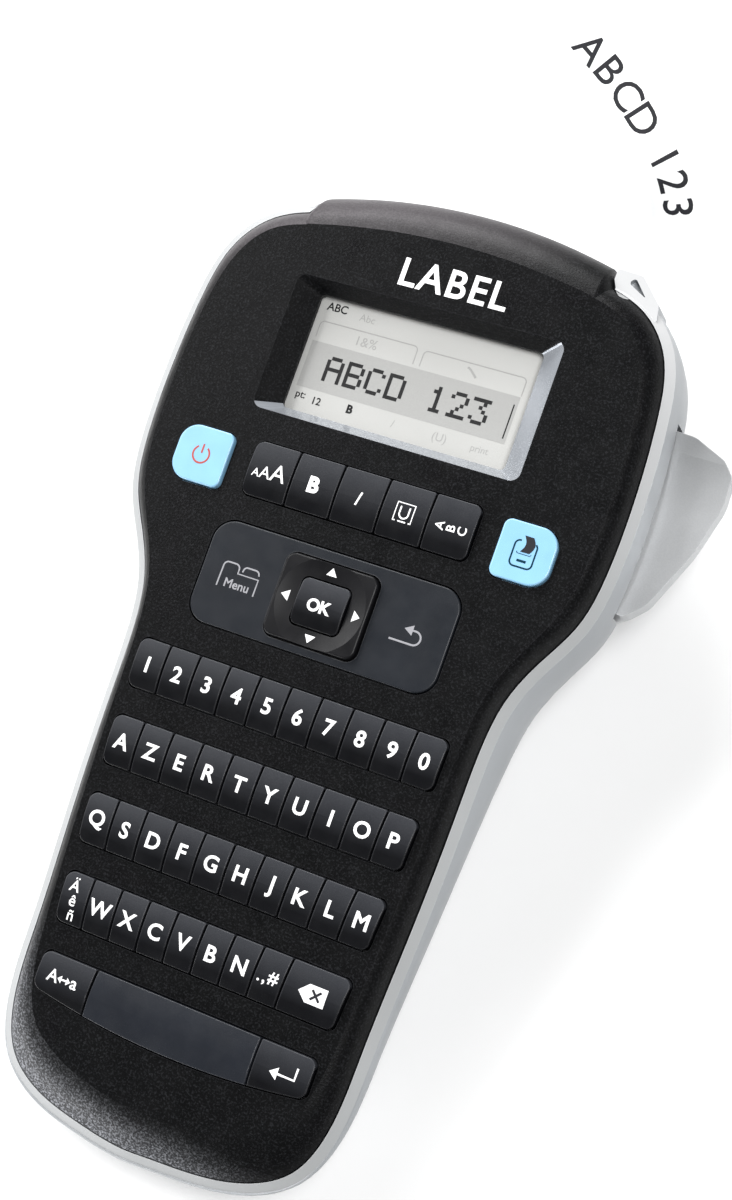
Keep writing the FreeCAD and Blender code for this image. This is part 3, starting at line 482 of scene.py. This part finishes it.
# ------------------------------------------------------------------ laying a shape on a node
def mesh_object(name, verts, faces, mat):
    m = bpy.data.meshes.new(name)
    m.from_pydata(verts, [], faces)
    m.validate()
    m.materials.append(mat)
    o = bpy.data.objects.new(name, m)
    bpy.context.scene.collection.objects.link(o)
    return o


def cut_up(shape, step_x=1.2, step_y=0.7):
    """Split the faces of a shape along a grid so that it can follow a curved key."""
    bm = bmesh.new()
    for p in shape[0]:
        bm.verts.new(p)
    bm.verts.ensure_lookup_table()
    for q in shape[1]:
        if bm.faces.get([bm.verts[i] for i in q]) is None:
            bm.faces.new([bm.verts[i] for i in q])
    bmesh.ops.triangulate(bm, faces=[f for f in bm.faces if len(f.verts) > 4])
    for axis, step in ((0, step_x), (1, step_y)):
        low, high = min(v.co[axis] for v in bm.verts), max(v.co[axis] for v in bm.verts)
        across = Vector((1 - axis, axis, 0))
        k = math.ceil(low / step + 0.01)
        while k * step < high:
            bmesh.ops.bisect_plane(bm, geom=bm.verts[:] + bm.edges[:] + bm.faces[:], dist=1e-6,
                                   plane_co=across * (k * step), plane_no=across)
            k += 1
    bm.verts.index_update()
    out = [v.co.copy() for v in bm.verts], [tuple(v.index for v in f.verts) for f in bm.faces]
    bm.free()
    return out


LIFT = 0.025             # how far the middle of a print stands off the surface under it


def decal(name, shape, node, body, mat, lift=LIFT):
    """Lay a flat shape, given in face coordinates, onto the top of a CAD node.

    A point beside the node takes the height of the point before it."""
    shape = cut_up(shape)
    out, last = [], 0.0
    for p in shape[0]:
        z = surface(node, p.x, p.y)
        last = z if z is not None else last
        out.append(to_row(p.x, p.y, last + lift + p.z))
    o = mesh_object(name, out, shape[1], mat)
    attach(o, body)


def key_centre(node, i=0, n=1):
    """Middle of a key, or of key i in a node of n keys side by side."""
    low, high = face_box(node)
    width = (high.x - low.x) / n
    return low.x + width * (i + 0.5), (low.y + high.y) / 2


def print_on_key(name, key, shapes, mat=INK_WHITE, lift=LIFT):
    """Print shapes, drawn about (0, 0), on the middle of a key."""
    decal(name, moved(joined(shapes), *key_centre(key)), key, key, mat, lift)


def print_on_node(name, node, shapes, mat):
    """Print shapes, drawn in face coordinates, on a moving node."""
    decal(name, joined(shapes), node, node, mat)


# ------------------------------------------------------------------ letter and number keys
LEGEND = 4.7             # letter size on the keys
BOLD = 0.11              # how far their strokes are thickened on each side

for ch in "1234567890azertyuiop":
    print_on_key("legend_" + ch, "key_" + ch, [text_shape(ch.upper(), LEGEND, BOLD)])
for row, letters in (("keys_home_row", "QSDFGHJKLM"), ("keys_low_row", "WXCVBN")):
    middles = [key_centre(row, i, len(letters)) for i in range(len(letters))]
    print_on_node("legend_" + row, row,
                [moved(text_shape(ch, LEGEND, BOLD), *middle) for ch, middle in zip(letters, middles)],
                INK_WHITE)

print_on_key("legend_accent", "key_accent",
          texts([("Ä", -0.6, 2.9), ("ê", 0.0, -0.4), ("ñ", 0.5, -3.4)], 3.4, 0.03))
print_on_key("legend_symbol", "key_symbol",
          texts([(".", -2.1, -1.1), (",", -0.9, -1.3), ("#", 1.0, 0.0)], 3.6, 0.06))
print_on_key("legend_backspace", "key_backspace",
          [patch_shape([(-3.2, 0), (-1.2, -1.9), (2.9, -1.9), (2.9, 1.9), (-1.2, 1.9)])])
print_on_key("legend_backspace_cross", "key_backspace",
          [line_shape([(-0.3, -1.0), (1.7, 1.0)], 0.55), line_shape([(-0.3, 1.0), (1.7, -1.0)], 0.55)],
          INK_DARK, lift=2 * LIFT)
print_on_key("legend_shift", "key_shift", [
    moved(text_shape("A", 3.7, 0.05), -2.4, 0.3), moved(text_shape("a", 3.7, 0.05), 2.7, -0.1),
    line_shape([(-0.6, 0.1), (1.2, 0.1)], 0.38),
    patch_shape([(-1.2, 0.1), (-0.3, -0.7), (-0.3, 0.9)]),
    patch_shape([(1.8, 0.1), (0.9, 0.9), (0.9, -0.7)])])
print_on_key("legend_enter", "key_enter", [
    line_shape([(3.1, 1.9), (3.1, -0.6), (-0.9, -0.6)], 0.46),
    patch_shape([(-2.5, -0.6), (-0.7, -1.9), (-0.7, 0.7)])])

# ------------------------------------------------------------------ format keys
CAPITAL = 0.36           # half the height of a capital letter of size 1

print_on_key("legend_size", "key_size", [moved(text_shape("A", size, 0.01), x, CAPITAL * size - 1.8)
                                      for size, x in ((2.5, -3.0), (3.7, -0.9), (5.2, 2.1))])
print_on_key("legend_bold", "key_bold", [text_shape("B", 4.6, 0.22)])
print_on_key("legend_italic", "key_italic", [line_shape([(-0.35, -1.45), (0.35, 1.45)], 0.42)])
print_on_key("legend_frame", "key_frame", [
    line_shape([(-1.5, -2.0), (-2.0, -2.0), (-2.0, 1.9), (2.0, 1.9), (2.0, -2.0), (1.5, -2.0)], 0.30),
    line_shape([(-0.9, -2.0), (0.9, -2.0)], 0.30),
    line_shape([(-1.0, 1.2), (-1.0, -0.3)] + arc(0, -0.3, 1.0, 180, 360) + [(1.0, 1.2)], 0.34)])
print_on_key("legend_turn", "key_turn",
          texts([("A", -2.4, -0.3), ("B", 0.1, -0.3), ("C", 2.6, -0.3)], 2.7, 0.04, 90))

# ------------------------------------------------------------------ navigation pad
print_on_node("icon_menu", "nav_plate", [
    line_shape([(-24.0, 15.0), (-23.9, 19.5)] + arc(-22.9, 19.5, 1.0, 180, 90, 8)
               + arc(-21.2, 19.5, 1.0, 90, 0, 8) + [(-20.2, 18.6), (-15.3, 18.6), (-15.3, 15.0)], 0.34),
    line_shape([(-19.3, 19.2), (-19.2, 19.6)] + arc(-18.4, 19.6, 0.8, 180, 90, 6)
               + arc(-16.5, 19.4, 1.0, 90, 0, 8), 0.34)],
    INK_GREY)
print_on_node("icon_menu_word", "nav_plate", texts([("Menu", -19.6, 16.2)], 2.65, 0.05),
            INK_GREY)
print_on_node("icon_return", "nav_plate", [
    line_shape([(16.05, 15.8), (21.2, 15.8)] + arc(21.2, 17.25, 1.45, -90, 90, 14) + [(20.2, 18.7)], 0.40),
    patch_shape([(18.6, 18.7), (20.5, 17.6), (20.5, 19.8)])],
    INK_GREY)

RING_Y = 17.6            # middle of the direction ring
ARROWS = [((0, 1), 6.5), ((0, -1), 6.5), ((-1, 0), 7.4), ((1, 0), 7.4)]     # way, distance of its foot
ARROW_HALF, ARROW_LENGTH = 1.2, 1.7


def arrow(way, distance):
    """Small triangle on the ring that points away from its middle."""
    along, side = Vector(way), Vector((way[1], -way[0])) * ARROW_HALF
    foot = Vector((0, RING_Y)) + along * distance
    return patch_shape([foot + side, foot + along * ARROW_LENGTH, foot - side])


print_on_node("ring_arrows", "direction_ring", [arrow(*a) for a in ARROWS], INK_WHITE)
print_on_key("legend_ok", "key_ok", [moved(text_shape("OK", 3.6, 0.12, spacing=0.94), 0, -0.2)])

# ------------------------------------------------------------------ blue keys
TAPE_LEFT, TAPE_RIGHT, TAPE_FOOT, TAPE_TOP = 36.4, 38.4, 40.5, 43.9      # little tape on the print key


def bowed_side(x, bow=0.75, steps=6):
    """Points up one bowed side of the little tape, without its two ends."""
    rise = (TAPE_TOP - TAPE_FOOT) / steps
    return [(x + bow * math.sin(math.pi * t / steps), TAPE_FOOT + rise * t) for t in range(1, steps)]


print_on_node("icon_print", "key_print", [
    line_shape([(36.0, 42.8)] + arc(35.9, 41.8, 1.0, 90, 180, 8) + arc(35.9, 38.4, 1.0, 180, 270, 8)
               + arc(38.7, 38.4, 1.0, 270, 360, 8) + arc(38.7, 41.8, 1.0, 0, 60, 6), 0.36),
    patch_shape([(36.3, 38.45), (38.3, 38.45), (38.3, 38.95), (36.3, 38.95)]),
    line_shape([(35.7, 40.45), (35.9, 40.1), (38.7, 40.1), (38.9, 40.45)], 0.16)],
    INK_TEAL)
print_on_node("icon_print_tape", "key_print", [patch_shape(
    [(TAPE_LEFT, TAPE_FOOT), (TAPE_RIGHT, TAPE_FOOT)] + bowed_side(TAPE_RIGHT)
    + [(TAPE_RIGHT, TAPE_TOP), (TAPE_LEFT, TAPE_TOP + 0.05)] + bowed_side(TAPE_LEFT)[::-1])],
    INK_DARK)
print_on_key("icon_power", "key_power",
          [line_shape(arc(0, 0, 1.9, 125, 415, 28), 0.42), line_shape([(0, 0.3), (0, 2.3)], 0.42)],
          INK_RUST)

# ------------------------------------------------------------------ display
# Each letter of the dot font is seven rows, two hexadecimal digits a row, top row first.
FONT_5X7 = {"A": "0E11111F111111", "B": "1E11111E11111E", "C": "0E11101010110E", "D": "1E11111111111E",
            "1": "040C040404040E", "2": "0E11010204081F", "3": "1F02040201110E", " ": "00000000000000"}
DOT = 0.815              # pitch of the dots, which touch
BAND_LIFT, FAINT_LIFT, DARK_LIFT = 0.010, 0.016, 0.030       # the layers above the panel


def dot_text(word, x0, y0):
    """Square dots of a 5 by 7 display; x0, y0 is the middle of the lower left dot."""
    shapes, h = [], DOT / 2
    for i, ch in enumerate(word):
        rows = [int(FONT_5X7[ch][2 * r:2 * r + 2], 16) for r in range(7)]
        for r, bits in enumerate(rows):
            for c in range(5):
                if bits >> (4 - c) & 1:
                    x, y = x0 + (6 * i + c) * DOT, y0 + (6 - r) * DOT
                    corners = [(x - h, y - h), (x + h, y - h), (x + h, y + h), (x - h, y + h)]
                    shapes.append(patch_shape(corners, 0.01))
    return shapes


def tab(left, right, top, foot_left, foot_right, corner=1.0):
    """Outline of a tab on the display with round upper corners, open at its foot."""
    return line_shape([(left, foot_left)] + arc(left + corner, top - corner, corner, 180, 90, 6)
                      + arc(right - corner, top - corner, corner, 90, 0, 6) + [(right, foot_right)], 0.26)


def print_on_display(name, shapes, mat, lift):
    decal(name, joined(shapes), "lcd_panel", "case", mat, lift)


print_on_display("lcd_band", [patch_shape([(-25.4, 61.9), (23.4, 61.9), (23.4, 72.4), (-25.4, 72.4)], 0.004)],
              LCD_BAND, BAND_LIFT)
print_on_display("lcd_tabs", [tab(-25.0, -1.8, 77.0, 73.3, 73.1), tab(-0.2, 23.4, 76.6, 73.0, 72.6)],
              LCD_FAINT, FAINT_LIFT)
print_on_display("lcd_ghosts", [
    moved(text_shape("1&%", 3.0), -13.2, 74.8), moved(text_shape("Abc", 2.3), -15.0, 79.9),
    line_shape([(10.2, 75.6), (11.0, 75.2), (12.6, 73.8)], 0.5), moved(text_shape("/", 2.4), -1.5, 59.6),
    moved(text_shape("(U)", 2.6), 9.4, 59.3), moved(text_shape("print", 2.1), 18.7, 59.2)],
    LCD_FAINT, FAINT_LIFT)
print_on_display("lcd_text", dot_text("ABCD 123", -20.4 + DOT / 2, 64.3 + DOT / 2), LCD_DOT, DARK_LIFT)
print_on_display("lcd_marks", [
    moved(text_shape("ABC", 2.5, 0.05), -22.4, 80.5), moved(text_shape("pt:", 2.3, 0.03), -23.7, 59.9),
    moved(text_shape("12", 2.3, 0.04), -19.6, 59.7), moved(text_shape("B", 2.5, 0.12), -11.8, 60.0),
    line_shape([(22.6, 63.0), (22.6, 70.6)], 0.30)], LCD_DOT, DARK_LIFT)

# ------------------------------------------------------------------ generic word on the cover
decal("cover_word", moved(text_shape("LABEL", 8.6, 0.12, spacing=1.10), 3.6, 90.4), "front_cover", "case",
      INK_WHITE, 0.04)

# ------------------------------------------------------------------ printed tape
# The tape's middle line runs from the mouth through these points, and TURN says how far the
# tape has twisted at each, in degrees, from standing on edge to facing along LOOK.
MOUTH = to_face(Vector((34.0, 71.0, 14.5)) * MM)
CURL = [MOUTH] + [Vector(c) for c in (
    (33.9, 107, -40.9), (34.2, 115.5, -40.2), (34.4, 126, -38), (31, 134.7, -32.5), (24.6, 141.5, -27.5),
    (14.6, 149.9, -22.5), (6.2, 155.4, -19.5), (-2.4, 160.9, -17.5))]
TURN = [0, 12, 34, 62, 84, 90, 90, 90, 90]
LOOK = Vector((-0.34, 0.08, -0.94)).normalized()
THICK_DIR = Vector((0, UP.z, NORMAL.z))     # row frame vertical seen in the face frame
STEPS = 20                                  # stations between two points of the curl
IN_FRONT = 0.6                              # distance before the tape from which its face is found
TAPE_LIFT = 0.02                            # how far the middle of the print stands off the tape
SPACE_WIDTH, DIGIT_WIDTH = 0.55, 0.86       # against a letter's width


def spline(values, t):
    """Smooth curve through values, t spans from the first."""
    i = min(int(t), len(values) - 2)
    f = t - i
    before, start, end, after = (values[min(max(k, 0), len(values) - 1)] for k in range(i - 1, i + 3))
    square = 2 * before - 5 * start + 4 * end - after
    cube = 3 * start - before - 3 * end + after
    return 0.5 * (2 * start + (end - before) * f + square * f * f + cube * f ** 3)


def curl_stations():
    """(run from the mouth, point, turn) at even steps along the curl."""
    out, run = [], 0.0
    for k in range(STEPS * (len(CURL) - 1) + 1):
        point = spline(CURL, k / STEPS)
        if out:
            run += (point - out[-1][1]).length
        out.append((run, point, spline(TURN, k / STEPS)))
    return out


STATIONS = curl_stations()


def on_tape(s, w):
    """Point at run s along the curl and w across it, just off the printed face, and its normal."""
    k = next((i for i in range(1, len(STATIONS)) if STATIONS[i][0] >= s), len(STATIONS) - 1)
    (s0, p0, t0), (s1, p1, t1) = STATIONS[k - 1], STATIONS[k]
    f = (s - s0) / (s1 - s0)
    along = (p1 - p0).normalized()
    side = LOOK.cross(along).normalized()
    a = math.radians(t0 + (t1 - t0) * f)
    across = THICK_DIR * math.cos(a) + side * math.sin(a)
    across = (across - along * across.dot(along)).normalized()
    q = p0.lerp(p1, f) + across * w
    near, normal, _, _ = tree("label_tape").find_nearest(q - LOOK * IN_FRONT)
    if normal.dot(LOOK) > 0:
        normal = -normal
    return near + normal * TAPE_LIFT, normal


def tape_text(word, size, s_first, s_last, bold):
    """Print a word along the curl, its first and last letters at the given runs."""
    shapes = []
    widths = [{" ": SPACE_WIDTH}.get(ch, DIGIT_WIDTH if ch.isdigit() else 1.0) for ch in word]
    places = [sum(widths[:i]) + widths[i] / 2 for i in range(len(word))]
    for ch, place in zip(word, places):
        if ch == " ":
            continue
        verts, faces = cut_up(text_shape(ch, size, bold, thick=0.008), 0.8, 0.8)
        s = s_first + (s_last - s_first) * (place - places[0]) / (places[-1] - places[0])
        out = []
        for p in verts:
            q, normal = on_tape(s - p.x, p.y)
            out.append(to_row(*(q + normal * p.z)))
        shapes.append((out, faces))
    o = mesh_object("tape_print", *joined(shapes), INK_DARK)
    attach(o, "case")


CURL_END = STATIONS[-1][0]
tape_text("ABCD 123", 9.4, CURL_END - 12.0, CURL_END - 52.5, 0.06)

# ------------------------------------------------------------------ floor
FLOOR_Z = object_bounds()[0].z
FLOOR_HALF = 4           # metres


def floor_material():
    m = Mat("floor")
    n = m.noise(6.0, 3.0)
    m.link(m.ramp(n, [(0.3, 0.73), (0.7, 0.76)]), m.shader.inputs["Base Color"])
    m.shader.inputs["Roughness"].default_value = 0.9
    m.shader.inputs["Specular IOR Level"].default_value = 0.1
    m.shader.inputs["Emission Color"].default_value = (1.0, 1.0, 1.0, 1.0)
    m.shader.inputs["Emission Strength"].default_value = 0.10
    return m.material


corners = [(x * FLOOR_HALF, y * FLOOR_HALF, FLOOR_Z) for x, y in ((-1, -1), (1, -1), (1, 1), (-1, 1))]
floor = mesh_object("floor", corners, [(0, 1, 2, 3)], floor_material())

# ------------------------------------------------------------------ light
BODY = (0, 0, 0.03)      # the middle of the object, which most lamps point at


def lamp(name, where, aim, width, power, height=None):
    """A soft rectangular lamp; places and sides in metres, power in watts."""
    light = bpy.data.lights.new(name, "AREA")
    light.shape = "RECTANGLE"
    light.size, light.size_y, light.energy = width, height or width, power
    o = bpy.data.objects.new(name, light)
    bpy.context.scene.collection.objects.link(o)
    o.location = where
    o.rotation_euler = (Vector(aim) - Vector(where)).to_track_quat("-Z", "Y").to_euler()


lamp("key_light", (-0.85, 0.25, 0.75), BODY, 0.7, 10)
lamp("top_light", (0.50, -0.05, 1.05), BODY, 0.45, 13)
lamp("head_light", (-0.38, 0.90, 0.60), (0, 0.08, 0.04), 0.6, 11, 0.45)
lamp("foot_light", (-0.72, -0.85, 0.16), (0, -0.05, 0.03), 0.8, 8, 0.25)

scene = bpy.context.scene
scene.world = bpy.data.worlds.new("studio")
scene.world.use_nodes = True
sky = scene.world.node_tree.nodes["Background"].inputs
sky["Color"].default_value = (1.0, 1.0, 1.0, 1.0)
sky["Strength"].default_value = 0.14
scene.view_settings.view_transform = "Standard"

# ------------------------------------------------------------------ camera
AIM = Vector((8.57, 21.72, 0))       # point of the flat face in the middle of the view
DISTANCE = 415.54
AZIMUTH, ELEVATION, ROLL = math.radians(-13.419), math.radians(69.485), math.radians(-19.659)

back = Vector((math.cos(ELEVATION) * math.cos(AZIMUTH), math.cos(ELEVATION) * math.sin(AZIMUTH),
               math.sin(ELEVATION)))
level = Vector((0, 1, 0)).cross(back).normalized()
upright = back.cross(level) * math.cos(ROLL) + level * math.sin(ROLL)
axes = [RIGHT * v.x + UP * v.y + NORMAL * v.z for v in (upright.cross(back), upright, back)]

cam_data = bpy.data.cameras.new("camera")
cam_data.sensor_fit = "VERTICAL"
cam_data.sensor_height = 36.0
cam_data.lens = 60.76
cam_data.clip_start, cam_data.clip_end = 0.01, 20.0
cam = bpy.data.objects.new("camera", cam_data)
scene.collection.objects.link(cam)
cam.matrix_world = Matrix.Translation(to_row(*(AIM + back * DISTANCE))) @ Matrix(axes).transposed().to_4x4()
scene.camera = cam
